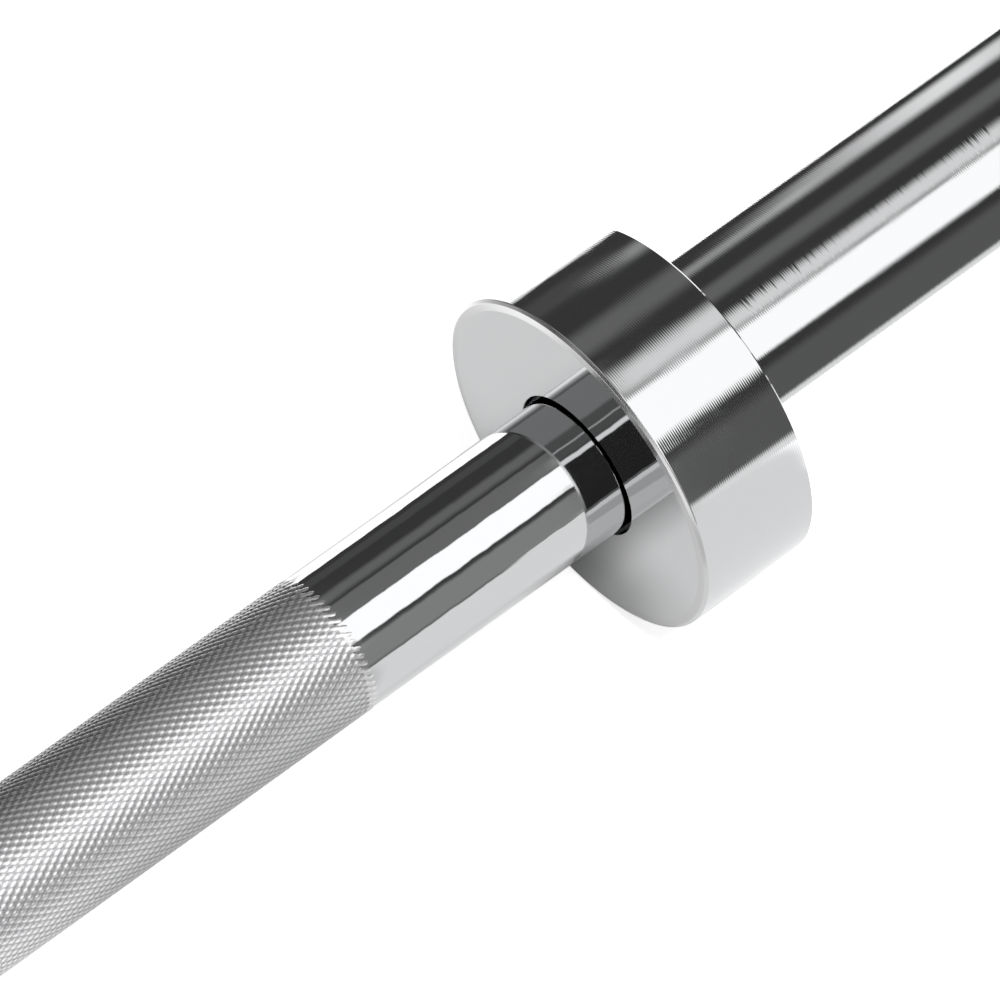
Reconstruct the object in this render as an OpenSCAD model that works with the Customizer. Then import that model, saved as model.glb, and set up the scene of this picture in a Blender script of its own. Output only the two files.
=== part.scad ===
// Barbell: a solid shaft, and at each end a sleeve that turns on two bushings and two needle bearings.
// Millimetres. The bar lies along X with its middle at the origin, and +Z is up.

/* [Shaft] */
// Diameter of the shaft where it is held
shaft_d = 30; // [29:0.5:32]
// Diameter of the shaft's two journals, which the sleeves turn on
journal_d = 28; // [26:0.5:29]
// Distance between the front faces of the two collars
between_collars = 1310; // [1280:5:1320]
// Length of the knurled band at the middle
centre_knurl = 120; // [90:5:180]
// Length of the smooth stretch on each side of the middle band
centre_smooth = 150; // [100:5:200]
// Length of the smooth stretch between a grip's knurl and the collar
end_smooth = 65; // [40:1:100]
// Distance between the middles of the two ring marks
ring_marks = 910; // [810:10:930]
// Width of each smooth ring mark
ring_mark_w = 5; // [3:0.5:8]
// Depth of the knurl's roots below the smooth shaft
knurl_depth = 0.4; // [0.2:0.05:0.6]
// Length of the ramp where a knurled band runs out
knurl_ramp = 0.6; // [0.3:0.1:1]
// Chamfer on the shaft's shoulders
shoulder_chamfer = 0.5; // [0.2:0.1:0.8]
// Chamfer on the shaft's ends
shaft_end_chamfer = 1.5; // [0.5:0.5:3]
// Room between the shaft's end and the end cap
shaft_end_gap = 3; // [1:0.5:6]
// Length of journal left outside the retaining ring's groove
groove_edge = 4; // [3:0.5:8]

/* [Collar] */
// Outer diameter of the collar
collar_d = 76; // [70:1:90]
// Width of the collar along the bar
collar_w = 28; // [22:1:40]
// Thickness of the collar's front wall, which closes the sleeve around the shaft
collar_web = 8; // [5:0.5:12]
// Gap between the shaft and the collar's front bore, all round
collar_gap = 1.1; // [0.5:0.1:1.4]
// Chamfer on the collar's front edge
front_chamfer = 1; // [0.6:0.1:2]
// Round between that chamfer and the outside
front_round = 0.6; // [0.2:0.1:1]
// Chamfer on the collar's back edge
back_chamfer = 0.4; // [0.2:0.1:1]
// Chamfer on the front bore's edge
bore_chamfer = 0.3; // [0.1:0.1:0.8]

/* [Sleeve] */
// Outer diameter of the sleeve, which takes the plates
sleeve_d = 50; // [48:0.5:52]
// Length of sleeve outside the collar, which takes the plates
sleeve_load = 417; // [300:1:440]
// Bore of the sleeve, which the bushings and bearings are pressed into
sleeve_bore = 35; // [34:0.5:36]
// Diameter of the sleeve's turned-down end, which is pressed into the collar
seat_d = 46; // [44:0.5:48]
// Chamfer on the sleeve's outer end
sleeve_chamfer = 2; // [0.5:0.5:3]
// Width of the step in the bore that the end cap seats on
cap_step = 2.5; // [1.5:0.5:3]
// Thickness of the end cap
cap_t = 4; // [3:0.5:8]
// Depth of the end cap's dished middle
cap_dish = 1; // [0.5:0.5:2]
// Width of the end cap's flat rim
cap_rim = 6; // [5:0.5:9]
// Depth of the snap ring below the sleeve's end
cap_recess = 2.5; // [1:0.5:6]

/* [Retaining rings] */
// Thickness of the end cap's snap ring
snap_t = 1.75; // [1:0.25:2.5]
// Depth of the snap ring's groove
snap_groove = 1.25; // [0.8:0.05:1.6]
// Radial width of the snap ring at its sides
snap_w = 2.9; // [2.4:0.1:3.6]
// How much wider the snap ring is at its back, and narrower at its ears
snap_taper = 0.8; // [0.2:0.1:1.2]
// Radius of the snap ring's ears
snap_ear = 3; // [2.6:0.1:3.4]
// Plier holes in the snap ring's ears
snap_hole = 2.5; // [1.5:0.5:3]
// Gap between the snap ring's ears
snap_gap = 5; // [3:0.5:8]
// Thickness of the shaft's retaining rings
retaining_t = 1.5; // [1:0.25:2]
// Depth of the shaft's retaining ring grooves
retaining_groove = 0.7; // [0.4:0.1:1.2]
// Radial width of the shaft's retaining rings
retaining_w = 2.4; // [1.8:0.1:2.9]
// Gap in the shaft's retaining rings
retaining_gap = 6; // [3:0.5:10]

/* [Bearings] */
// Length of each bronze bushing
bushing_l = 25; // [15:1:35]
// Chamfer on the bushings' edges
bushing_chamfer = 0.6; // [0.2:0.1:1]
// Thickness of the thrust washers
washer_t = 1.5; // [1:0.25:2.5]
// Length of each needle bearing
bearing_l = 20; // [16:1:26]
// Distance between a bushing and the bearing beside it
bearing_gap = 1; // [0.5:0.5:10]
// Wall of a bearing's drawn cup
cup_wall = 1; // [0.8:0.05:1.3]
// Gap between the journal and the cup's inturned lips
lip_gap = 0.7; // [0.4:0.1:1.2]
// Round on the cup's corners
cup_corner = 0.7; // [0.3:0.1:0.7]
// Least width of cage between two needles
cage_bar = 1.1; // [0.8:0.1:1.5]
// Width of the ring at each end of a cage
cage_end = 1.2; // [0.8:0.1:2]
// Gap between the cage and the journal, and the cage and the cup
cage_gap = 0.35; // [0.2:0.05:0.5]
// Chamfer on a needle's ends
needle_chamfer = 0.2; // [0.1:0.05:0.4]

/* [Clearances] */
// Radial clearance between journal and bushing
bushing_play = 0.04; // [0.02:0.01:0.09]
// Clearance of a needle on the journal, in the cup and in its pocket
needle_play = 0.02; // [0.01:0.01:0.05]
// Clearance along the bar between pieces that turn against each other
end_play = 0.1; // [0.05:0.01:0.3]
// Clearance of a ring in its groove, and of a washer on its journal
groove_play = 0.05; // [0.02:0.01:0.1]
// Clearance around the thrust washers and the end caps
cap_play = 0.1; // [0.05:0.05:0.3]

/* [Hidden] */
$fn = 96;

chrome = [0.80, 0.80, 0.81];
steel = [0.62, 0.63, 0.65];
bronze = [0.72, 0.53, 0.28];
blackened = [0.16, 0.16, 0.17];

// Radii
shaft_r = shaft_d / 2;
journal_r = journal_d / 2;
knurl_root_r = shaft_r - knurl_depth;
collar_r = collar_d / 2;
collar_bore_r = shaft_r + collar_gap;
sleeve_r = sleeve_d / 2;
bore_r = sleeve_bore / 2;
seat_r = seat_d / 2;
cap_bore_r = bore_r + cap_step;
cap_r = cap_bore_r - cap_play;
snap_groove_r = cap_bore_r + snap_groove;
snap_r = snap_groove_r - groove_play;
snap_inner_r = snap_r - snap_w;
retaining_groove_r = journal_r - retaining_groove;
retaining_r = retaining_groove_r + groove_play;
cup_inner_r = bore_r - cup_wall;
needle_r = (cup_inner_r - journal_r) / 2 - needle_play;
pitch_r = (cup_inner_r + journal_r) / 2;
cage_inner_r = journal_r + cage_gap;
cage_outer_r = cup_inner_r - cage_gap;

// Places along a sleeve, counted outwards from the collar's front face
sleeve_end = collar_w + sleeve_load;
seat_end = collar_w - (sleeve_r - seat_r);
snap_at = sleeve_end - cap_recess - snap_t;
cap_at = snap_at - groove_play - cap_t;
shaft_end = cap_at - shaft_end_gap;
retaining_groove_at = shaft_end - groove_edge - retaining_t - 2 * groove_play;
retaining_at = retaining_groove_at + groove_play;
inner_washer_at = collar_web + end_play;
inner_bushing_at = inner_washer_at + washer_t + end_play;
inner_bearing_at = inner_bushing_at + bushing_l + bearing_gap;
outer_washer_at = retaining_at - end_play - washer_t;
outer_bushing_at = outer_washer_at - end_play - bushing_l;
outer_bearing_at = outer_bushing_at - bearing_gap - bearing_l;

// Places along the shaft, counted from its middle
half_between = between_collars / 2;
centre_knurl_end = centre_knurl / 2;
grip_start = centre_knurl_end + centre_smooth;
grip_end = half_between - end_smooth;
mark_start = (ring_marks - ring_mark_w) / 2;
mark_end = (ring_marks + ring_mark_w) / 2;

// Needles in a bearing: as many as the pitch circle takes with a bar of cage between each two
needle_pitch = 2 * (needle_r + needle_play) + cage_bar;
needle_count = floor(360 / (2 * asin(needle_pitch / 2 / pitch_r)));
needle_l = bearing_l - 2 * (cup_wall + end_play + cage_end + needle_play);

// Points of a round about a centre, from one angle to another
function arc(centre, r, from, to, steps) =
  [for (i = [0:steps]) let (a = from + (to - from) * i / steps) centre + r * [cos(a), sin(a)]];

// An outline of the bar's right half, and its mirror image
function both_halves(half) =
  concat([for (i = [len(half) - 1:-1:0]) [-half[i][0], half[i][1]]], half);

// A solid turned about the bar's axis from points of place along the bar and radius
module turned(outline) {
  rotate([0, 90, 0]) rotate_extrude() polygon([for (p = outline) [p[1], p[0]]]);
}

// A turned ring with all four edges chamfered
module turned_ring(from, length, inner_r, outer_r, chamfer) {
  to = from + length;
  turned([
    [from + chamfer, inner_r], [from, inner_r + chamfer],
    [from, outer_r - chamfer], [from + chamfer, outer_r],
    [to - chamfer, outer_r], [to, outer_r - chamfer],
    [to, inner_r + chamfer], [to - chamfer, inner_r]
  ]);
}

// Places what is drawn for a sleeve at the right end of the bar
module on_right() {
  translate([half_between, 0, 0]) children();
}

// Places it mirrored at the left end
module on_left() {
  mirror([1, 0, 0]) on_right() children();
}

// The shaft in one piece: knurled bands cut down to the knurl's roots, ring marks, shoulders,
// and at each end a journal with the groove for its retaining ring
module shaft() {
  shoulder = half_between + collar_web;
  groove = half_between + retaining_groove_at;
  groove_w = retaining_t + 2 * groove_play;
  end = half_between + shaft_end;
  half = [
    [centre_knurl_end, knurl_root_r], [centre_knurl_end + knurl_ramp, shaft_r],
    [grip_start - knurl_ramp, shaft_r], [grip_start, knurl_root_r],
    [mark_start - knurl_ramp, knurl_root_r], [mark_start, shaft_r],
    [mark_end, shaft_r], [mark_end + knurl_ramp, knurl_root_r],
    [grip_end, knurl_root_r], [grip_end + knurl_ramp, shaft_r],
    [shoulder - shoulder_chamfer, shaft_r], [shoulder, shaft_r - shoulder_chamfer],
    [shoulder, journal_r],
    [groove, journal_r], [groove, retaining_groove_r],
    [groove + groove_w, retaining_groove_r], [groove + groove_w, journal_r],
    [end - shaft_end_chamfer, journal_r], [end, journal_r - shaft_end_chamfer],
    [end, 0]
  ];
  color(chrome) turned(both_halves(half));
}

// The collar: a front wall with the shaft's bore, and a deep seat with a conical mouth, which is
// pressed over the sleeve
module collar() {
  tangent = front_round * tan(22.5);
  round_centre = [front_chamfer + tangent, collar_r - front_round];
  color(chrome) turned(concat(
    [
      [0, collar_bore_r + bore_chamfer], [bore_chamfer, collar_bore_r],
      [collar_web, collar_bore_r], [collar_web, seat_r], [seat_end, seat_r],
      [collar_w, sleeve_r], [collar_w, collar_r - back_chamfer],
      [collar_w - back_chamfer, collar_r]
    ],
    arc(round_centre, front_round, 90, 135, 4),
    [[0, collar_r - front_chamfer]]
  ));
}

// The sleeve: a tube turned down where the collar goes on, with a conical shoulder level with the
// collar's back, and a stepped end for the cap with a groove for its snap ring
module sleeve_tube() {
  groove = snap_at - groove_play;
  groove_w = snap_t + 2 * groove_play;
  color(chrome) turned([
    [collar_web, bore_r], [cap_at, bore_r], [cap_at, cap_bore_r],
    [groove, cap_bore_r], [groove, snap_groove_r],
    [groove + groove_w, snap_groove_r], [groove + groove_w, cap_bore_r],
    [sleeve_end, cap_bore_r], [sleeve_end, sleeve_r - sleeve_chamfer],
    [sleeve_end - sleeve_chamfer, sleeve_r],
    [collar_w, sleeve_r], [seat_end, seat_r], [collar_web, seat_r]
  ]);
}

// The end cap: a disc with a dished middle
module end_cap() {
  face = cap_at + cap_t;
  rim_r = cap_r - cap_rim;
  edge = 0.3;
  color(chrome) turned([
    [cap_at, 0], [cap_at, cap_r - edge], [cap_at + edge, cap_r],
    [face - edge, cap_r], [face, cap_r - edge],
    [face, rim_r], [face - cap_dish, rim_r - cap_dish], [face - cap_dish, 0]
  ]);
}

// The end cap's snap ring: widest at its back, with two eared ends and plier holes at the top
module end_cap_snap_ring() {
  over = 1;
  ear_place = snap_r - snap_ear;
  ear_angle = asin((snap_gap / 2 + snap_ear) / ear_place);
  color(blackened) translate([snap_at, 0, 0]) rotate([0, 90, 0]) difference() {
    union() {
      difference() {
        cylinder(h = snap_t, r = snap_r);
        translate([-snap_taper, 0, -over]) cylinder(h = snap_t + 2 * over, r = snap_inner_r);
      }
      for (side = [-1, 1]) rotate([0, 0, side * ear_angle])
        translate([-ear_place, 0, 0]) cylinder(h = snap_t, r = snap_ear);
    }
    for (side = [-1, 1]) rotate([0, 0, side * ear_angle])
      translate([-ear_place, 0, -over]) cylinder(h = snap_t + 2 * over, d = snap_hole);
    translate([-snap_r - over, -snap_gap / 2, -over])
      cube([2 * snap_ear + 2 * over, snap_gap, snap_t + 2 * over]);
  }
}

// A steel washer between a shoulder or retaining ring and a bushing
module thrust_washer(from) {
  color(steel) turned_ring(from, washer_t, journal_r + groove_play, bore_r - cap_play, 0.2);
}

// A bronze bushing pressed into the sleeve, running on the journal
module bushing(from) {
  color(bronze) turned_ring(from, bushing_l, journal_r + bushing_play, bore_r, bushing_chamfer);
}

// A bearing's drawn steel cup, pressed into the sleeve, with both lips turned in over the cage
module bearing_cup(from) {
  to = from + bearing_l;
  lip_r = journal_r + lip_gap;
  color(steel) turned(concat(
    [[from, lip_r]],
    arc([from + cup_corner, bore_r - cup_corner], cup_corner, 180, 90, 3),
    arc([to - cup_corner, bore_r - cup_corner], cup_corner, 90, 0, 3),
    [
      [to, lip_r], [to - cup_wall, lip_r], [to - cup_wall, cup_inner_r],
      [from + cup_wall, cup_inner_r], [from + cup_wall, lip_r]
    ]
  ));
}

// A bearing's cage: a thin ring with a pocket for each needle
module bearing_cage(from) {
  play = cup_wall + end_play;
  pocket_l = needle_l + 2 * needle_play;
  pocket_w = 2 * (needle_r + needle_play);
  color(blackened) difference() {
    turned_ring(from + play, bearing_l - 2 * play, cage_inner_r, cage_outer_r, 0.1);
    for (i = [0:needle_count - 1]) rotate([i * 360 / needle_count, 0, 0])
      translate([from + bearing_l / 2, 0, pitch_r])
        cube([pocket_l, pocket_w, 2 * (cage_outer_r - cage_inner_r)], center = true);
  }
}

// A bearing's needles, one in each pocket of its cage
module bearing_needles(from) {
  start = from + (bearing_l - needle_l) / 2;
  color(steel) for (i = [0:needle_count - 1]) rotate([i * 360 / needle_count, 0, 0])
    translate([start, 0, pitch_r]) turned([
      [0, 0], [0, needle_r - needle_chamfer], [needle_chamfer, needle_r],
      [needle_l - needle_chamfer, needle_r], [needle_l, needle_r - needle_chamfer], [needle_l, 0]
    ]);
}

// The split ring in the journal's groove, which keeps the sleeve on the shaft
module retaining_ring() {
  color(blackened) difference() {
    turned_ring(retaining_at, retaining_t, retaining_r, retaining_r + retaining_w + retaining_groove, 0.15);
    translate([retaining_at + retaining_t / 2, 0, journal_r])
      cube([2 * retaining_t, retaining_gap, 4 * retaining_w], center = true);
  }
}

shaft();

on_left() collar();  // left_collar
on_left() sleeve_tube();  // left_sleeve_tube
on_left() end_cap();  // left_end_cap
on_left() end_cap_snap_ring();  // left_end_cap_snap_ring
on_left() thrust_washer(inner_washer_at);  // left_inner_thrust_washer
on_left() bushing(inner_bushing_at);  // left_inner_bushing
on_left() bearing_cup(inner_bearing_at);  // left_inner_bearing_cup
on_left() bearing_cage(inner_bearing_at);  // left_inner_bearing_cage
on_left() bearing_needles(inner_bearing_at);  // left_inner_bearing_needles
on_left() bearing_cup(outer_bearing_at);  // left_outer_bearing_cup
on_left() bearing_cage(outer_bearing_at);  // left_outer_bearing_cage
on_left() bearing_needles(outer_bearing_at);  // left_outer_bearing_needles
on_left() bushing(outer_bushing_at);  // left_outer_bushing
on_left() thrust_washer(outer_washer_at);  // left_outer_thrust_washer
on_left() retaining_ring();  // left_retaining_ring

on_right() collar();  // right_collar
on_right() sleeve_tube();  // right_sleeve_tube
on_right() end_cap();  // right_end_cap
on_right() end_cap_snap_ring();  // right_end_cap_snap_ring
on_right() thrust_washer(inner_washer_at);  // right_inner_thrust_washer
on_right() bushing(inner_bushing_at);  // right_inner_bushing
on_right() bearing_cup(inner_bearing_at);  // right_inner_bearing_cup
on_right() bearing_cage(inner_bearing_at);  // right_inner_bearing_cage
on_right() bearing_needles(inner_bearing_at);  // right_inner_bearing_needles
on_right() bearing_cup(outer_bearing_at);  // right_outer_bearing_cup
on_right() bearing_cage(outer_bearing_at);  // right_outer_bearing_cage
on_right() bearing_needles(outer_bearing_at);  // right_outer_bearing_needles
on_right() bushing(outer_bushing_at);  // right_outer_bushing
on_right() thrust_washer(outer_washer_at);  // right_outer_thrust_washer
on_right() retaining_ring();  // right_retaining_ring
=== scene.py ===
import math
import bpy
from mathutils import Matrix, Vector


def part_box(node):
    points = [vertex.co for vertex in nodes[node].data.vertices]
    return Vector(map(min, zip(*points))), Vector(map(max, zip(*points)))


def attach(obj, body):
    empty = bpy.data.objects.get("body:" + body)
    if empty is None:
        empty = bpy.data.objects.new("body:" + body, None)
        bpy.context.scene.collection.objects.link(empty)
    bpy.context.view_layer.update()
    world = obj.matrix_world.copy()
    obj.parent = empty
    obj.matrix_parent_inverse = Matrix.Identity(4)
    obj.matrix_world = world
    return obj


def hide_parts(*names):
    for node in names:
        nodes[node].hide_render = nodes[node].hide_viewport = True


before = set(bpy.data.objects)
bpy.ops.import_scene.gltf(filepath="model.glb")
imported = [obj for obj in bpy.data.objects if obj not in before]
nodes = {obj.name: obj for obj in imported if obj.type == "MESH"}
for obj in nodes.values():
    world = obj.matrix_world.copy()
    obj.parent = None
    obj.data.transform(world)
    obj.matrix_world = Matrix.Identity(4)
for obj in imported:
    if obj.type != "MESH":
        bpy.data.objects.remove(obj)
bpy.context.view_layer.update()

mm = 0.001  # the scene is in metres
mergeWithin = 0.0005 * mm
barSides = (("left", -1), ("right", 1))


# Sizes that the frame gives
collarLow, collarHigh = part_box("right_collar")
tubeLow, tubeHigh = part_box("right_sleeve_tube")
capLow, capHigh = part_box("right_end_cap")
shaftLow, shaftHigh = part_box("shaft")


# Selecting and editing

def deselectAll():
    if bpy.context.object and bpy.context.object.mode == "EDIT":
        bpy.ops.object.mode_set(mode="OBJECT")
    bpy.ops.object.select_all(action="DESELECT")


def editPiece(piece, pick="VERT"):
    deselectAll()
    piece.select_set(True)
    bpy.context.view_layer.objects.active = piece
    bpy.ops.object.mode_set(mode="EDIT")
    bpy.ops.mesh.select_mode(type=pick)


def selectVertices(piece, wanted):  # stays in edit mode, with only these vertices selected
    editPiece(piece)
    bpy.ops.mesh.select_all(action="DESELECT")
    bpy.ops.object.mode_set(mode="OBJECT")
    for vertex in piece.data.vertices:
        vertex.select = wanted(vertex.co)
    bpy.ops.object.mode_set(mode="EDIT")


def applyPlace():
    bpy.ops.object.transform_apply(location=True, rotation=True, scale=True)


def finishMesh(smoothAngle):  # edges sharper than this many degrees stay sharp
    bpy.ops.mesh.select_all(action="SELECT")
    bpy.ops.mesh.remove_doubles(threshold=mergeWithin)
    bpy.ops.mesh.normals_make_consistent(inside=False)
    bpy.ops.object.mode_set(mode="OBJECT")
    bpy.ops.object.shade_smooth_by_angle(angle=math.radians(smoothAngle))


# Turned pieces

turning = {
    "roundSteps": 3,  # segments of a rounded corner
    "hold": 0.3,  # how far outside a rounded corner its loops lie, as a share of its radius
    "smoothAngle": 22,
}


def softened(corners, closed):
    # rounds each corner that has a radius, with a loop held on both sides of it
    line = []
    for i, (x, r, soft) in enumerate(corners):
        here = Vector((x, r))
        atEnd = not closed and i in (0, len(corners) - 1)
        if soft == 0 or atEnd:
            line.append(here)
            continue
        back = (Vector(corners[i - 1][:2]) - here).normalized()
        ahead = (Vector(corners[(i + 1) % len(corners)][:2]) - here).normalized()
        half = (math.pi - back.angle(ahead)) / 2
        reach = soft * math.tan(half)
        centre = here + (back + ahead).normalized() * soft / math.cos(half)
        first, last = here + back * reach - centre, here + ahead * reach - centre
        hold = turning["hold"] * soft
        line.append(here + back * (reach + hold))
        for k in range(turning["roundSteps"] + 1):
            spoke = first.slerp(last, k / turning["roundSteps"])
            line.append(centre + spoke.normalized() * soft)
        line.append(here + ahead * (reach + hold))
    return line


def turn(name, corners, sides, side=1, closed=True):
    # a ring, or a disc if not closed: a circle is extruded along the outline and scaled to each radius
    line = softened(corners, closed)
    deselectAll()
    bpy.ops.mesh.primitive_circle_add(
        vertices=sides, radius=line[0].y, fill_type="NOTHING" if closed else "NGON",
        location=(side * line[0].x, 0, 0), rotation=(0, math.pi / 2, 0))
    piece = bpy.context.object
    piece.name = name
    applyPlace()
    bpy.ops.object.mode_set(mode="EDIT")
    bpy.ops.mesh.select_mode(type="EDGE" if closed else "FACE")
    bpy.ops.mesh.select_all(action="SELECT")
    stops = line[1:] + line[:1] if closed else line[1:]
    here = line[0]
    for there in stops:
        step = (side * (there.x - here.x), 0, 0)
        bpy.ops.mesh.extrude_region_move(TRANSFORM_OT_translate={"value": step})
        if not math.isclose(there.y, here.y):
            grow = there.y / here.y
            middle = (side * there.x, 0, 0)
            bpy.ops.transform.resize(value=(1, grow, grow), center_override=middle)
        here = there
    finishMesh(turning["smoothAngle"])
    return piece


# Shader maths

class Signal:  # a socket that takes part in arithmetic, each operator adding its Math node
    def __init__(self, tree, socket):
        self.tree = tree
        self.socket = socket

    def maths(self, operation, *values):
        return self.tree.out("Math", {"operation": operation}, dict(enumerate(values)))

    def __add__(self, other):
        return self.maths("ADD", self, other)

    def __radd__(self, other):
        return self.maths("ADD", other, self)

    def __sub__(self, other):
        return self.maths("SUBTRACT", self, other)

    def __rsub__(self, other):
        return self.maths("SUBTRACT", other, self)

    def __mul__(self, other):
        return self.maths("MULTIPLY", self, other)

    def __rmul__(self, other):
        return self.maths("MULTIPLY", other, self)

    def __truediv__(self, other):
        return self.maths("DIVIDE", self, other)

    def __pow__(self, other):
        return self.maths("POWER", self, other)

    def __abs__(self):
        return self.maths("ABSOLUTE", self)

    def least(self, other):
        return self.maths("MINIMUM", self, other)

    def most(self, other):
        return self.maths("MAXIMUM", self, other)

    def wave(self):
        return self.maths("SINE", self)

    def angle(self, level):  # in radians, of a slope that rises by this signal over the level one
        return self.maths("ARCTAN2", self, level)

    def between(self, low, high):  # 0 at low, 1 at high, eased in between
        settings = {"interpolation_type": "SMOOTHSTEP"}
        return self.tree.out("MapRange", settings, {0: self, 1: low, 2: high, 3: 0.0, 4: 1.0})


class Tree:  # a node tree, emptied, with one method that adds any node
    def __init__(self, owner):
        owner.use_nodes = True
        self.owner = owner
        self.tree = owner.node_tree
        self.tree.nodes.clear()

    def node(self, kind, settings=None, values=None):
        made = self.tree.nodes.new("ShaderNode" + kind)
        for name, setting in (settings or {}).items():
            setattr(made, name, setting)
        for name, value in (values or {}).items():
            if isinstance(value, Signal):
                self.tree.links.new(value.socket, made.inputs[name])
            else:
                made.inputs[name].default_value = value
        return made

    def out(self, kind, settings=None, values=None, output=0):
        return Signal(self, self.node(kind, settings, values).outputs[output])

    def place(self, kind="Object"):  # Object coordinates are in metres
        return self.out("TexCoord", output=kind)

    def axes(self, place):  # its x, y and z
        split = self.node("SeparateXYZ", values={0: place})
        return [Signal(self, split.outputs[axis]) for axis in range(3)]

    def rays(self):  # whether a ray comes from the camera, and whether it is a reflection
        path = self.node("LightPath")
        return [Signal(self, path.outputs[name]) for name in ("Is Camera Ray", "Is Glossy Ray")]

    def stretched(self, place, scale):
        return self.out("Mapping", values={"Vector": place, "Scale": scale})

    def shade(self, level):  # a grey of this level
        return self.out("CombineXYZ", values={0: level, 1: level, 2: level})

    def mix(self, factor, first, second):  # of two colours
        return self.out("Mix", {"data_type": "RGBA"}, {0: factor, 6: first, 7: second}, 2)

    def noise(self, place, scale, detail, rough=0.5):
        values = {"Vector": place, "Scale": scale, "Detail": detail, "Roughness": rough}
        return self.out("TexNoise", {}, values)

    def noiseAlong(self, along, scale, detail):  # one number's noise, the same all the way round
        values = {"W": along, "Scale": scale, "Detail": detail}
        return self.out("TexNoise", {"noise_dimensions": "1D"}, values)

    def vector(self, operation, *values):
        return self.out("VectorMath", {"operation": operation}, dict(enumerate(values)))

    def tilted(self, lean, swing):  # the normal, leaned along the bar and swung round it
        normal = self.out("NewGeometry", output="Normal")
        across = self.vector("CROSS_PRODUCT", (1, 0, 0), normal)
        swung = self.out("VectorMath", {"operation": "SCALE"}, {0: across, "Scale": swing})
        leaned = self.out("CombineXYZ", values={0: lean})
        return self.vector("NORMALIZE", self.vector("ADD", self.vector("ADD", normal, leaned), swung))


def grey(level):
    return (level, level, level, 1)


# Camera at the photograph's angle

camera = {
    "lens": 400,  # in millimetres: a long lens, as the weak perspective shows
    "sensor": 36,
    "clip": (0.1, 200),
    "distance": 2.166,
    "back": (-0.37, -0.427, 0.8251),  # from what is looked at towards the camera
    "right": (0.7558, -0.6548, 0.0),
    "up": (0.5403, 0.6236, 0.565),
    "seenPoint": (collarLow.x, 0, 0),  # the middle of the right collar's front
    "seenPixel": (576.9, 465.75),
    "picture": 1000,
}


def makeCamera():
    data = bpy.data.cameras.new("photo_camera")
    data.lens = camera["lens"]
    data.sensor_width = camera["sensor"]
    data.clip_start, data.clip_end = camera["clip"]
    made = bpy.data.objects.new("photo_camera", data)
    bpy.context.scene.collection.objects.link(made)
    back, right, up = (Vector(camera[key]) for key in ("back", "right", "up"))
    pixel = camera["distance"] * camera["sensor"] / camera["lens"] / camera["picture"]
    middle = camera["picture"] / 2
    across, down = camera["seenPixel"]
    aside, above = right * (across - middle) * pixel, up * (middle - down) * pixel
    made.location = Vector(camera["seenPoint"]) - aside - above + back * camera["distance"]
    made.rotation_mode = "QUATERNION"
    made.rotation_quaternion = (-back).to_track_quat("-Z", "Y")
    bpy.context.scene.camera = made


# Studio: a white floor, a soft sun, and a tent with cards of light that only reflections see. Past the
# tent's ends reflections see the world, which has the cards that run along the whole bar.

studio = {
    "ambient": 0.45,
    "sun": 1.9,
    "sunHeight": 68,  # degrees over the floor in front of the bar
    "sunSoftness": 18,
    "ends": 0.8,  # share of the cards' light past the tent's ends
}

tent = {
    "radius": 1.2,
    "half": 2.0,  # its length to each side
    "sides": 128,
    "room": 0.06,  # light between the cards
    "fade": 0.003,  # how softly a card ends along the bar, where it doesn't say
}

# Cards hung in the tent, the later ones over the earlier. "round" is where a card starts and ends
# round the bar, in degrees: 0 is level behind it, 90 straight up, 180 level in front. "edge" is how soft
# these two edges are, and "along" where it starts and ends out from the bar's middle.
tentCards = {
    "wall": {"round": (52, 68), "light": 0.2, "edge": 5},
    "lowerWall": {"round": (145, 185), "light": 0.15, "edge": 5},
    "softbox": {"round": (103, 134), "light": 1.7, "edge": 2},
    "paper": {"round": (10, 26), "light": 0.1, "edge": 3, "along": (1.03, 1.17)},
    "shaftTop": {"round": (74, 102), "light": 0.22, "edge": 2, "along": (1.03, 1.13)},
    "shaftSoftbox": {"round": (103, 139), "light": 1.75, "edge": 1.5, "along": (1.03, 1.13)},
    "shaftFront": {"round": (147, 185), "light": 0.35, "edge": 3, "along": (1.03, 1.13)},
    "top": {"round": (86, 101), "light": 1.1, "edge": 5, "along": (1.13, 2.5)},
    "window": {"round": (20, 30), "light": 0.45, "edge": 5, "along": (1.17, 1.25)},
    "farWindow": {"round": (10, 30), "light": 1.3, "edge": 6, "along": (1.26, 1.36), "fade": 0.06},
    "frontRim": {"round": (177, 185), "light": 1.2, "edge": 2, "along": (1.13, 1.36)},
    "past": {"round": (-5, 104), "light": 0.35, "edge": 2, "along": (1.36, 2.5)},
    "gripRoom": {"round": (45, 185), "light": 0.6, "edge": 25, "along": (0.23, 1.03)},
    "gripSoftbox": {"round": (99, 150), "light": 1.9, "edge": 9, "along": (0.23, 1.03)},
    "middleRoom": {"round": (-5, 65), "light": 0.4, "edge": 6, "along": (-0.01, 0.23)},
    "middleTop": {"round": (65, 98), "light": 0.18, "edge": 4, "along": (-0.01, 0.23)},
    "middleDark": {"round": (105, 185), "light": 0.04, "edge": 2, "along": (-0.01, 0.23)},
    "middleLine": {"round": (81, 84), "light": 0.7, "edge": 0.5, "along": (-0.01, 0.23)},
    "middleSoftbox": {"round": (99, 106), "light": 1.7, "edge": 1.5, "along": (-0.01, 0.23)},
}


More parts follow.
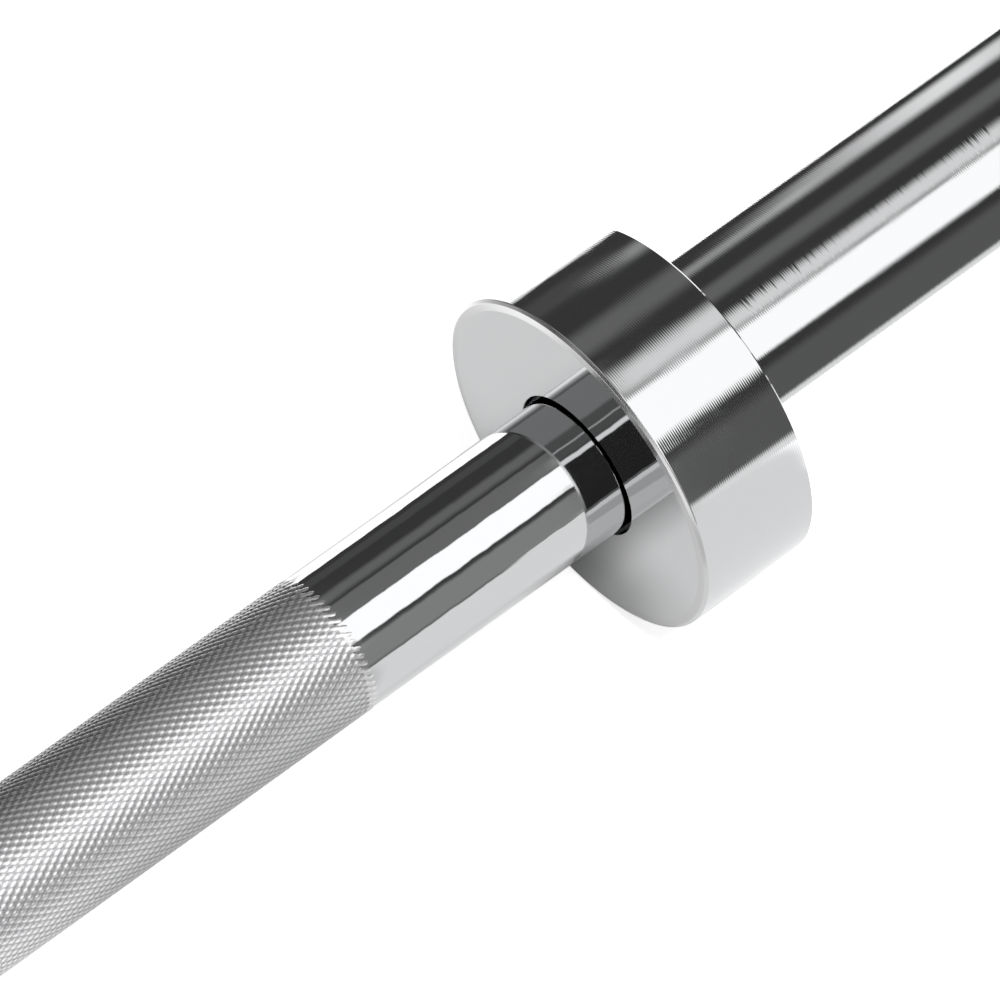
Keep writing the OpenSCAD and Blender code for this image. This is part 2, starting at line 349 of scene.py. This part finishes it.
def cardLight(y, z, out=None):
    angle = abs(z.angle(y)) * (180 / math.pi)
    light = tent["room"]
    for card in tentCards.values():
        if "along" in card and out is None:
            continue
        (start, end), edge = card["round"], card["edge"]
        here = angle.between(start - edge, start + edge) * (1 - angle.between(end - edge, end + edge))
        if "along" in card:
            (start, end), fade = card["along"], card.get("fade", tent["fade"])
            started = out.between(start - fade, start + fade)
            here = here * started * (1 - out.between(end - fade, end + fade))
        light = light + (card["light"] - light) * here
    return light


def makeWorld():
    world = bpy.data.worlds.new("studio")
    bpy.context.scene.world = world
    tree = Tree(world)
    x, y, z = tree.axes(tree.place("Generated"))  # in the world these coordinates are directions
    seen, glossy = tree.rays()
    level = seen + glossy * studio["ends"] * cardLight(y, z) + (1 - seen - glossy) * studio["ambient"]
    light = tree.out("Background", values={"Color": tree.shade(level), "Strength": 1.0})
    tree.node("OutputWorld", values={"Surface": light})
    world.cycles.sampling_method = "NONE"


def makeSun():
    data = bpy.data.lights.new("soft_sun", "SUN")
    data.energy = studio["sun"]
    data.angle = math.radians(studio["sunSoftness"])
    made = bpy.data.objects.new("soft_sun", data)
    bpy.context.scene.collection.objects.link(made)
    made.rotation_euler = (math.radians(90 - studio["sunHeight"]), 0, 0)
    made.visible_glossy = False


def makeTent():
    deselectAll()
    bpy.ops.mesh.primitive_cylinder_add(
        vertices=tent["sides"], radius=tent["radius"], depth=2 * tent["half"], end_fill_type="NOTHING",
        rotation=(0, math.pi / 2, 0))
    shell = bpy.context.object
    shell.name = "studio_tent"
    applyPlace()
    material = bpy.data.materials.new("tent_cards")
    tree = Tree(material)
    x, y, z = tree.axes(tree.place())
    colour = tree.shade(cardLight(y, z, abs(x)))
    glowing = tree.out("Emission", values={"Color": colour, "Strength": 1.0})
    tree.node("OutputMaterial", values={"Surface": glowing})
    material.cycles.emission_sampling = "NONE"
    shell.data.materials.append(material)
    shell.visible_camera = False
    shell.visible_diffuse = False
    shell.visible_shadow = False


# Floor: plain for the camera and the soft light. Reflections see it in zones, as the photograph's chrome
# does. A pair of numbers is where a zone's border starts and ends. Borders across the bar are counted
# outwards from its middle and slant outwards away from it, and the others are counted from its axis.

# What reflections see of the floor is painted: its white patches glow as painted light, and its dark
# patches and zones are painted shade.
floor = {
    "size": 90,
    "colour": 0.85,
    "glow": 0.66,  # on the white that the camera sees
    "slantBehind": 0.355,
    "slantBefore": 0.405,
    "slantGrip": 0.36,  # before the grip's end

    "seen": 1.11,  # colour in reflections
    "seenGrip": 0.82,  # the same beside the grip, painted darker
    "gripEnd": (0.589, 0.595),
    "paintedFarLight": 0.7,  # painted light, how much lighter it is further along the grip
    "farEnd": (0.49, 0.535),

    "paintedFaceShadow": 0.10,  # painted shadow, how much darker it is before the collars' faces
    "faceFrom": (-0.036, -0.024),
    "faceEnd": (0.656, 0.66),
    "paintedNearShadow": 0.10,  # painted shadow close to them, darker still
    "nearFrom": (0.638, 0.652),
    "paintedUnderShadow": 0.35,  # painted shadow, darkest right under the shaft
    "underEnd": (0.0, 0.03),

    "tipColour": 0.45,  # painted grey past the bar's ends, where it is neither white nor dark
    "tipFrom": (1.0, 1.05),
    "tipEnd": (0.25, 0.45),

    # painted light: the glow of the white patches that only reflections see
    "paintedLightGlow": 0.75,
    "behindGripEnd": (0.592, 0.597),
    "behindFrom": (0.065, 0.09),  # painted light, white behind the smooth shaft and the sleeves
    "stripFrom": (0.045, 0.06),  # and a white strip behind the grip
    "stripEnd": (0.08, 0.15),
    "sleeveFrom": 0.673,  # painted light, white beside the sleeves
    "sleeveSlant": 0.012,
    "sleeveStep": 0.008,
    "sleeveStepEnd": (0.02, 0.17),
    "sleeveBlur": 0.001,

    # painted shade: the colour of the dark patches that only reflections see
    "paintedDarkColour": 0.24,
    "darkFrom": (0.36, 0.48),  # painted dark patch far in front of the grip
    "darkEnd": (0.612, 0.622),
    "darkBehindFrom": (0.10, 0.34),  # and far behind it
}


def pastTips(x, y):
    return abs(x).between(*floor["tipFrom"]) * (1 - abs(y).between(*floor["tipEnd"]))


def floorTone(x, y):  # the colour that reflections see where it is neither white nor dark, with painted lighter and darker zones
    out, aside = abs(x), abs(y)
    gripReach = out + floor["slantGrip"] * y.least(0.0)
    pastGrip = gripReach.between(*floor["gripEnd"])
    tone = floor["seenGrip"] + (floor["seen"] - floor["seenGrip"]) * pastGrip
    tone = tone * (1 + floor["paintedFarLight"] * (1 - gripReach.between(*floor["farEnd"])))
    # painted shadow that reflections see on the floor before the collars' faces, darkest under the shaft
    faceShadowMask = y.between(*floor["faceFrom"]) * (1 - out.between(*floor["faceEnd"]))
    under = 1 - aside.between(*floor["underEnd"])
    near = out.between(*floor["nearFrom"]) * (floor["paintedNearShadow"] + floor["paintedUnderShadow"] * under)
    tone = tone * (1 - faceShadowMask * (floor["paintedFaceShadow"] + near))
    return tone + (floor["tipColour"] - tone) * pastTips(x, y)


def floorPatches(x, y):  # where reflections see it white, a painted light, and where dark, a painted shade
    out, aside = abs(x), abs(y)
    reach = out + floor["slantBefore"] * y.least(0.0)
    pastGrip = (out - floor["slantBehind"] * y.most(0.0)).between(*floor["behindGripEnd"])
    strip = y.between(*floor["stripFrom"]) * (1 - y.between(*floor["stripEnd"]))
    behind = y.between(*floor["behindFrom"]) * pastGrip + strip * (1 - pastGrip)
    step = 1 - aside.between(*floor["sleeveStepEnd"])
    sleeveFrom = floor["sleeveFrom"] + floor["sleeveSlant"] * aside + floor["sleeveStep"] * step
    beside = (reach - sleeveFrom).between(-floor["sleeveBlur"], floor["sleeveBlur"])
    white = behind.most(beside) * (1 - pastTips(x, y))
    darkBefore = (0 - y).between(*floor["darkFrom"]) * (1 - reach.between(*floor["darkEnd"]))
    darkBehind = y.between(*floor["darkBehindFrom"]) * (1 - pastGrip)
    return white, darkBefore + darkBehind


def makeFloor():
    deselectAll()
    bpy.ops.mesh.primitive_plane_add(size=floor["size"], location=(0, 0, collarLow.z))
    plane = bpy.context.object
    plane.name = "studio_floor"
    applyPlace()
    material = bpy.data.materials.new("white_floor")
    tree = Tree(material)
    x, y, z = tree.axes(tree.place())
    seen, glossy = tree.rays()
    # painted light and painted shade, seen only in reflections
    white, dark = (patch * glossy for patch in floorPatches(x, y))
    plain = floor["colour"] + (floorTone(x, y) - floor["colour"]) * glossy
    shade = plain + (floor["paintedDarkColour"] - plain) * dark
    lit = tree.out("BsdfDiffuse", values={"Color": tree.shade(shade)})
    glow = floor["glow"] * seen + floor["paintedLightGlow"] * white
    glowing = tree.out("Emission", values={"Color": grey(1), "Strength": glow})
    both = tree.out("AddShader", values={0: lit, 1: glowing})
    tree.node("OutputMaterial", values={"Surface": both})
    material.cycles.emission_sampling = "NONE"
    plane.data.materials.append(material)


makeCamera()
makeWorld()
makeSun()
makeFloor()
makeTent()
bpy.context.scene.view_settings.view_transform = "Standard"
print("studio made")


# Finishes. A noise is given as its scale and detail, a pair called range as where it counts as none and
# as full, and what leans or swings the surface as the slope it adds along the bar or round it.

def newFinish(name):
    return Tree(bpy.data.materials.new(name))


def closeFinish(tree, colour, rough, normal=None, metallic=1.0):
    values = {"Base Color": colour, "Roughness": rough, "Metallic": metallic}
    if normal is not None:
        values["Normal"] = normal
    surface = tree.out("BsdfPrincipled", values=values)
    tree.node("OutputMaterial", values={"Surface": surface})
    return tree.owner


polishedChrome = {  # the smooth shaft and the collars' faces: a mirror with a faint waviness
    "colour": (0.56, 0.565, 0.57, 1),
    "rough": 0.04,
    "haze": 0.05,  # what patches of haze add to it
    "hazeNoise": (40, 4),
    "hazeRange": (0.55, 0.8),
    "waveNoise": (220, 3),
    "waveStretch": (1, 0.4, 0.4),
    "waveLean": 0.006,
    "waveSwing": 0.040,
}


def makePolishedChrome():
    look = polishedChrome
    tree = newFinish("polished_chrome_finish")
    place = tree.place()
    waves = tree.noise(tree.stretched(place, look["waveStretch"]), *look["waveNoise"]) - 0.5
    haze = tree.noise(place, *look["hazeNoise"]).between(*look["hazeRange"])
    normal = tree.tilted(look["waveLean"] * waves, look["waveSwing"] * waves)
    return closeFinish(tree, look["colour"], look["rough"] + look["haze"] * haze, normal)


bevelChrome = {  # the collars' front edge, cut less finely and duller
    "colour": (0.54, 0.54, 0.545, 1),
    "rough": 0.18,
    "waveNoise": (500, 3),
    "waveRough": 0.05,
    "waveLean": 0.02,
    "waveSwing": 0.05,
}


def makeBevelChrome():
    look = bevelChrome
    tree = newFinish("bevel_finish")
    waves = tree.noise(tree.place(), *look["waveNoise"])
    normal = tree.tilted(look["waveLean"] * (waves - 0.5), look["waveSwing"] * (waves - 0.5))
    return closeFinish(tree, look["colour"], look["rough"] + look["waveRough"] * waves, normal)


turnedChrome = {  # chrome over fine turned rings, some cut a little deeper
    "colour": (0.56, 0.565, 0.57, 1),
    "rough": 0.05,
    "haze": 0.04,
    "hazeNoise": (60, 3),
    "hazeRange": (0.5, 0.8),
    "pitch": 0.50 * mm,
    "ringLean": 0.25,  # share of the rings' swing that leans along the bar
    "wanderPitch": 0.8,  # of the uneven cut, in rings
    "wanderDetail": 2,
    "patchNoise": (90, 3),  # rings are cut deeper in patches
    "patchRange": (0.35, 0.65),
    "patchLeast": 0.5,
    "below": 0.3,  # share of the cut that shows elsewhere than on top
    "aboveRange": (0.52, 0.78),  # height over the axis, in radii
    "tornPitch": 1.5,  # of the rings that the tool tore, in rings
    "tornRange": (0.60, 0.70),
    "tornFrom": (0.05, 0.16),  # they show just in front of the top, also in radii
    "tornEnd": (0.26, 0.36),
    "tornLeast": 0.2,
}
ringCuts = {  # swing of the regular cut, of the uneven one and of the torn rings
    "collar": {"radius": collarHigh.z, "comb": 0.017, "wander": 0.006, "torn": 0.0},
    "sleeve": {"radius": tubeHigh.z, "comb": 0.012, "wander": 0.014, "torn": 0.035},
}


def makeTurnedChrome(part):
    look, cut = turnedChrome, ringCuts[part]
    tree = newFinish("turned_" + part + "_finish")
    place = tree.place()
    x, y, z = tree.axes(place)
    rings = (x * (2 * math.pi / look["pitch"])).wave()
    uneven = tree.noiseAlong(x, 1 / (look["wanderPitch"] * look["pitch"]), look["wanderDetail"]) - 0.5
    patches = tree.noise(place, *look["patchNoise"]).between(*look["patchRange"])
    above = look["below"] + (1 - look["below"]) * (z / cut["radius"]).between(*look["aboveRange"])
    swing = above * cut["comb"] * rings * (look["patchLeast"] + patches) + cut["wander"] * uneven
    if cut["torn"]:
        torn = tree.noiseAlong(x, 1 / (look["tornPitch"] * look["pitch"]), 0).between(*look["tornRange"])
        forward = (0 - y) / cut["radius"]
        where = forward.between(*look["tornFrom"]) * (1 - forward.between(*look["tornEnd"]))
        swing = swing - cut["torn"] * torn * where * (look["tornLeast"] + patches)
    haze = tree.noise(place, *look["hazeNoise"]).between(*look["hazeRange"])
    normal = tree.tilted(look["ringLean"] * swing, swing)
    return closeFinish(tree, look["colour"], look["rough"] + look["haze"] * haze, normal)


knurledChrome = {  # crests polished by hands, roots a little duller; the crests' colour is a painted highlight and the roots' a painted shade
    "crestHighlightColour": (0.69, 0.69, 0.695, 1),
    "rootShadeColour": (0.42, 0.42, 0.43, 1),
    "crestRange": (14.89 * mm, 15.05 * mm),
    "rough": 0.32,
    "rootRough": 0.10,  # added to it
}


def makeKnurledChrome():
    look = knurledChrome
    tree = newFinish("knurled_chrome_finish")
    x, y, z = tree.axes(tree.place())
    radius = (y * y + z * z) ** 0.5
    crest = radius.between(*look["crestRange"])
    # painted highlight on the crests and painted shade in the roots, mixed by radius
    colour = tree.mix(crest, look["rootShadeColour"], look["crestHighlightColour"])
    return closeFinish(tree, colour, look["rough"] + look["rootRough"] * (1 - crest))


turnedBronze = {
    "dark": (0.62, 0.40, 0.16, 1),
    "light": (0.78, 0.55, 0.26, 1),
    "patchNoise": (300, 4),
    "rough": 0.3,
    "patchRough": 0.15,
    "pitch": 0.3 * mm,
    "ringLean": 0.02,
}


def makeTurnedBronze():
    look = turnedBronze
    tree = newFinish("turned_bronze_finish")
    place = tree.place()
    x, y, z = tree.axes(place)
    patches = tree.noise(place, *look["patchNoise"])
    colour = tree.mix(patches, look["dark"], look["light"])
    normal = tree.tilted(look["ringLean"] * (x * (2 * math.pi / look["pitch"])).wave(), 0.0)
    return closeFinish(tree, colour, look["rough"] + look["patchRough"] * patches, normal)


groundSteel = {
    "dark": (0.50, 0.51, 0.53, 1),
    "light": (0.66, 0.67, 0.69, 1),
    "grainNoise": (400, 3),
    "grainStretch": (8, 1, 1),
    "rough": 0.22,
    "grainRough": 0.12,
}


def makeGroundSteel():
    look = groundSteel
    tree = newFinish("ground_steel_finish")
    grain = tree.noise(tree.stretched(tree.place(), look["grainStretch"]), *look["grainNoise"])
    colour = tree.mix(grain, look["dark"], look["light"])
    return closeFinish(tree, colour, look["rough"] + look["grainRough"] * grain)


blackenedSteel = {
    "dark": (0.025, 0.025, 0.028, 1),
    "light": (0.075, 0.073, 0.072, 1),
    "patchNoise": (500, 5, 0.6),
    "rough": 0.42,
    "patchRough": 0.2,
    "bump": 0.2,
    "bumpDepth": 0.1 * mm,
    "metallic": 0.9,
}


def makeBlackenedSteel():
    look = blackenedSteel
    tree = newFinish("blackened_steel_finish")
    patches = tree.noise(tree.place(), *look["patchNoise"])
    colour = tree.mix(patches, look["dark"], look["light"])
    depth = {"Strength": look["bump"], "Distance": look["bumpDepth"], "Height": patches}
    rough = look["rough"] + look["patchRough"] * patches
    return closeFinish(tree, colour, rough, tree.out("Bump", values=depth), look["metallic"])


finishes = {
    "polished": makePolishedChrome(),
    "bevel": makeBevelChrome(),
    "collar": makeTurnedChrome("collar"),
    "sleeve": makeTurnedChrome("sleeve"),
    "knurl": makeKnurledChrome(),
    "bronze": makeTurnedBronze(),
    "ground_steel": makeGroundSteel(),
    "blackened_steel": makeBlackenedSteel(),
}
print("finishes made:", ", ".join(finishes))


def dress(piece, body, slot, *coats):
    piece.data.materials.clear()
    for coat in coats:
        piece.data.materials.append(finishes[coat])
    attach(piece, body)


def coatFaces(piece, index, wanted):  # gives faces, by centre and normal, another of the coats
    for face in piece.data.polygons:
        if wanted(face.center, face.normal):
            face.material_index = index


# Shaft

shaft = {
    "radius": shaftHigh.z,
    "land": 14.75 * mm,  # what the knurled bands stand on
    "rampFrom": 0.42,  # where a band's land starts and the smooth surface ends, past the band's end,
    "rampTo": 0.36,  # as shares of a diamond's length
    "journal": 14.0 * mm,
    "shoulder": 663 * mm,
    "shoulderChamfer": 0.5 * mm,
    "grooveFrom": 1083.1 * mm,
    "grooveTo": 1084.7 * mm,
    "grooveRadius": 13.3 * mm,
    "end": shaftHigh.x,
    "endChamfer": 1.5 * mm,
    "endMiddle": 2 * mm,  # radius of the disc that the turning starts from
    "edge": 0.12 * mm,
    "sides": 192,
}
# Each knurled band's inner and outer end
knurledBands = {"middle": (0, 60 * mm), "inner": (210 * mm, 452.5 * mm), "outer": (457.5 * mm, 590 * mm)}


def makeShaft():
    land, full, journal, edge = (shaft[key] for key in ("land", "radius", "journal", "edge"))
    under, out = knurl["length"] * shaft["rampFrom"], knurl["length"] * shaft["rampTo"]
    half = []
    for inner, outer in knurledBands.values():
        if inner:
            half += [(inner + out, full, 0), (inner + under, land, 0)]
        half += [(outer - under, land, 0), (outer - out, full, 0)]
    shoulder, bevel = shaft["shoulder"], shaft["shoulderChamfer"]
    end, chamfer = shaft["end"], shaft["endChamfer"]
    half += [
        (shoulder - bevel, full, edge), (shoulder, full - bevel, edge), (shoulder, journal, 0),
        (shaft["grooveFrom"], journal, 0), (shaft["grooveFrom"], shaft["grooveRadius"], 0),
        (shaft["grooveTo"], shaft["grooveRadius"], 0), (shaft["grooveTo"], journal, 0),
        (end - chamfer, journal, edge), (end, journal - chamfer, edge), (end, shaft["endMiddle"], 0),
    ]
    corners = [(-x, r, soft) for x, r, soft in reversed(half)] + half
    piece = turn("shaft_bar", corners, shaft["sides"], closed=False)
    dress(piece, "shaft", "polished_chrome", "polished")
    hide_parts("shaft")


# Knurl: one diamond, repeated along the bar and round it, then bent into a ring

knurl = {
    "round": 57,  # diamonds in one turn
    "length": 2.72 * mm,  # of a diamond along the bar
    "root": -0.12 * mm,  # from the smooth shaft's surface
    "crest": 0.105 * mm,
    "top": 0.43,  # share of the diamond that its top takes
    "joined": 1.0,  # how far from a band's end the diamonds join in ridges, in diamonds
    "ridge": 0.04 * mm,
    "onGroove": 0.02,  # how near a groove or a crossing a vertex counts as on it, in half diamonds
    "atCrossing": 0.1,
    "inner": 14.3 * mm,  # radius of the ring's inside, within the shaft
    "rowMerge": 0.002 * mm,
    "ringMerge": 0.004 * mm,
    "smoothAngle": 50,
}


def makeDiamond(long, wide):  # and a second one in the next row
    deselectAll()
    bpy.ops.mesh.primitive_grid_add(x_subdivisions=3, y_subdivisions=3, size=1, location=(0, 0, 0))
    cell = bpy.context.object
    cell.name = "knurl_cell"
    aroundMiddle = 1 / 6 + 0.01  # just past the grid's four inner vertices
    selectVertices(cell, lambda co: max(abs(co.x), abs(co.y)) < aroundMiddle)
    bpy.ops.transform.resize(value=(3 * knurl["top"], 3 * knurl["top"], 1), center_override=(0, 0, 0))
    bpy.ops.transform.translate(value=(0, 0, knurl["crest"] - knurl["root"]))
    bpy.ops.mesh.select_all(action="SELECT")
    bpy.ops.transform.translate(value=(0, 0, knurl["root"]))
    bpy.ops.transform.rotate(value=math.radians(45), orient_axis="Z", center_override=(0, 0, 0))
    diagonal = math.sqrt(2)
    bpy.ops.transform.resize(value=(long / diagonal, wide / diagonal, 1), center_override=(0, 0, 0))
    bpy.ops.mesh.duplicate_move(TRANSFORM_OT_translate={"value": (long / 2, wide / 2, 0)})
    bpy.ops.object.mode_set(mode="OBJECT")
    return cell


def repeat(piece, count, step):
    array = piece.modifiers.new("repeat", "ARRAY")
    array.count = count
    array.use_relative_offset = False
    array.use_constant_offset = True
    array.constant_offset_displace = step
    array.use_merge_vertices = True
    array.merge_threshold = knurl["rowMerge"]
    bpy.ops.object.modifier_apply(modifier=array.name)


def joinRidges(band, long, wide, rows):
    # one set of grooves stops short of a band's ends, so the last diamonds join in ridges
    def inShortGroove(co):
        fromEnd = min(co.x + long / 2, rows * long - co.x)
        across, along = 2 * (co.x / long - co.y / wide), 2 * (co.x / long + co.y / wide)
        onGroove = abs(across % 2 - 1) < knurl["onGroove"]
        atCrossing = abs(along % 2 - 1) < knurl["atCrossing"]
        return fromEnd < knurl["joined"] * long and onGroove and not atCrossing

    selectVertices(band, inShortGroove)
    bpy.ops.transform.translate(value=(0, 0, knurl["ridge"] - knurl["root"]))
    bpy.ops.object.mode_set(mode="OBJECT")


def closeRing(band, start, end):  # each end's edge turns in towards the bar, and a wall joins the two
    editPiece(band, "EDGE")
    bpy.ops.mesh.select_all(action="SELECT")
    bpy.ops.mesh.remove_doubles(threshold=knurl["ringMerge"])
    inward = knurl["inner"] / shaft["radius"]
    middle = (start + end) / 2
    for place in (start, end):
        bpy.ops.mesh.select_all(action="DESELECT")
        bpy.ops.mesh.select_mode(type="VERT")
        bpy.ops.mesh.select_non_manifold(extend=False)
        bpy.ops.object.mode_set(mode="OBJECT")
        for vertex in band.data.vertices:
            vertex.select = vertex.select and (vertex.co.x - middle) * (place - middle) > 0
        bpy.ops.object.mode_set(mode="EDIT")
        bpy.ops.mesh.select_mode(type="EDGE")
        bpy.ops.mesh.extrude_edges_move()
        bpy.ops.transform.resize(value=(1, inward, inward), center_override=(place, 0, 0))
    bpy.ops.mesh.select_all(action="DESELECT")
    bpy.ops.mesh.select_non_manifold(extend=False)
    bpy.ops.mesh.bridge_edge_loops()
    finishMesh(knurl["smoothAngle"])


def makeBand(name, start, end):
    wide = 2 * math.pi * shaft["radius"] / knurl["round"]
    rows = round((end - start) / knurl["length"])
    long = (end - start) / rows
    band = makeDiamond(long, wide)
    repeat(band, rows, (long, 0, 0))
    joinRidges(band, long, wide, rows)
    repeat(band, knurl["round"], (0, wide, 0))
    band.rotation_euler = (math.radians(90), 0, 0)  # crests towards -Y, rows going up Z
    applyPlace()
    bend = band.modifiers.new("bend", "SIMPLE_DEFORM")
    bend.deform_method = "BEND"
    bend.deform_axis = "X"
    bend.angle = 2 * math.pi * (knurl["round"] + 0.5) / knurl["round"]  # half a diamond overlaps itself
    bpy.ops.object.modifier_apply(modifier=bend.name)
    band.location = (start + long / 2, -shaft["radius"], 0)
    applyPlace()
    closeRing(band, start, end)
    band.name = name
    dress(band, "shaft", "polished_chrome", "knurl")


makeShaft()
print("shaft made")
makeBand("middle_knurl", -knurledBands["middle"][1], knurledBands["middle"][1])
for sideName, side in barSides:
    for bandName in ("inner", "outer"):
        inner, outer = knurledBands[bandName]
        makeBand(sideName + "_" + bandName + "_knurl", *sorted((side * inner, side * outer)))
print("knurl rolled")


# Collars

collar = {
    "front": collarLow.x,
    "width": collarHigh.x - collarLow.x,
    "radius": collarHigh.z,
    "bore": 16.1 * mm,
    "boreEdge": 0.1 * mm,
    "wall": 8 * mm,  # of the front, which the sleeve's turned-down end meets
    "seat": 23 * mm,
    "seatMouth": 25 * mm,
    "bevel": 2.3 * mm,  # across the face: a slight bevel, then the edge itself
    "bevelDepth": 0.16 * mm,
    "frontEdge": 0.7 * mm,
    "frontDepth": 0.65 * mm,
    "frontRound": 0.25 * mm,
    "backChamfer": 0.4 * mm,
    "edge": 0.08 * mm,
    "sides": 256,
    "facing": 0.3,  # a face whose normal has this much along the bar is no longer the rim
    "flat": 0.9999,  # and with this much it belongs to the flat front
}


def makeCollar(sideName, side):
    front, back = collar["front"], collar["front"] + collar["width"]
    wall, outer, edge = front + collar["wall"], collar["radius"], collar["edge"]
    taper = collar["seatMouth"] - collar["seat"]
    corners = [
        (front, collar["bore"] + collar["boreEdge"], 0), (front + collar["boreEdge"], collar["bore"], 0),
        (wall, collar["bore"], 0), (wall, collar["seat"], 0), (back - taper, collar["seat"], 0),
        (back, collar["seatMouth"], edge), (back, outer - collar["backChamfer"], edge),
        (back - collar["backChamfer"], outer, edge),
        (front + collar["frontDepth"], outer, collar["frontRound"]),
        (front + collar["bevelDepth"], outer - collar["frontEdge"], collar["frontRound"]),
        (front, outer - collar["bevel"], 2 * edge),
    ]
    piece = turn(sideName + "_collar_ring", corners, collar["sides"], side)
    dress(piece, sideName + "_sleeve", "polished_chrome", "collar", "polished", "bevel")
    coatFaces(piece, 1, lambda centre, normal: abs(normal.x) > collar["facing"])

    def onBevel(centre, normal):
        fromAxis = math.hypot(centre.y, centre.z)
        slanted = collar["facing"] < -side * normal.x < collar["flat"]
        return slanted and fromAxis > outer - collar["bevel"] - edge

    coatFaces(piece, 2, onBevel)
    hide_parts(sideName + "_collar")


# Sleeves

sleeve = {
    "from": tubeLow.x,
    "to": tubeHigh.x,
    "radius": tubeHigh.z,
    "bore": 17.5 * mm,
    "seat": 23 * mm,
    "seatTo": collarHigh.x,
    "capFrom": capLow.x,
    "mouth": 20 * mm,
    "grooveFrom": 1095.7 * mm,
    "grooveTo": 1097.55 * mm,
    "groove": 21.25 * mm,
    "endChamfer": 2 * mm,
    "edge": 0.15 * mm,
    "sides": 224,
}


def makeSleeve(sideName, side):
    outer, seat, edge, end = sleeve["radius"], sleeve["seat"], sleeve["edge"], sleeve["to"]
    taper = outer - seat
    corners = [
        (sleeve["from"], sleeve["bore"], 0), (sleeve["capFrom"], sleeve["bore"], 0),
        (sleeve["capFrom"], sleeve["mouth"], 0), (sleeve["grooveFrom"], sleeve["mouth"], 0),
        (sleeve["grooveFrom"], sleeve["groove"], 0), (sleeve["grooveTo"], sleeve["groove"], 0),
        (sleeve["grooveTo"], sleeve["mouth"], edge), (end, sleeve["mouth"], edge),
        (end, outer - sleeve["endChamfer"], edge), (end - sleeve["endChamfer"], outer, 2 * edge),
        (sleeve["seatTo"], outer, 0.5 * edge), (sleeve["seatTo"] - taper, seat, 0),
        (sleeve["from"], seat, 0),
    ]
    piece = turn(sideName + "_sleeve_tube_turned", corners, sleeve["sides"], side)
    dress(piece, sideName + "_sleeve", "turned_chrome", "sleeve")
    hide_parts(sideName + "_sleeve_tube")


# End caps

cap = {
    "from": capLow.x,
    "to": capHigh.x,
    "radius": 19.9 * mm,
    "edgeChamfer": 0.3 * mm,
    "dish": 1.0 * mm,
    "rim": 13.9 * mm,
    "middle": 2 * mm,  # radius of the disc that the turning starts from
    "edge": 0.12 * mm,
    "sides": 192,
}


def makeCap(sideName, side):
    low, high, outer, chamfer = (cap[key] for key in ("from", "to", "radius", "edgeChamfer"))
    edge, rim, dish, middle = (cap[key] for key in ("edge", "rim", "dish", "middle"))
    corners = [
        (low, middle, 0), (low, outer - chamfer, 0.5 * edge), (low + chamfer, outer, 0.5 * edge),
        (high - chamfer, outer, 0.5 * edge), (high, outer - chamfer, 0.5 * edge),
        (high, rim, edge), (high - dish, rim - dish, edge), (high - dish, middle, 0),
    ]
    piece = turn(sideName + "_end_cap_disc", corners, cap["sides"], side, closed=False)
    dress(piece, sideName + "_sleeve", "polished_chrome", "polished")
    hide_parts(sideName + "_end_cap")


for sideName, side in barSides:
    makeCollar(sideName, side)
    makeSleeve(sideName, side)
    makeCap(sideName, side)
print("collars, sleeves and end caps made")


# Finishes of the CAD nodes

slotFinish = {
    "polished_chrome": "polished",
    "turned_chrome": "sleeve",
    "ground_steel": "ground_steel",
    "bronze": "bronze",
    "blackened_steel": "blackened_steel",
}

for node in nodes.values():
    for slot in node.material_slots:
        slotName = slot.material.name.split(".")[0]
        slot.material = finishes[slotFinish[slotName]]
print("finishes given to the CAD nodes")
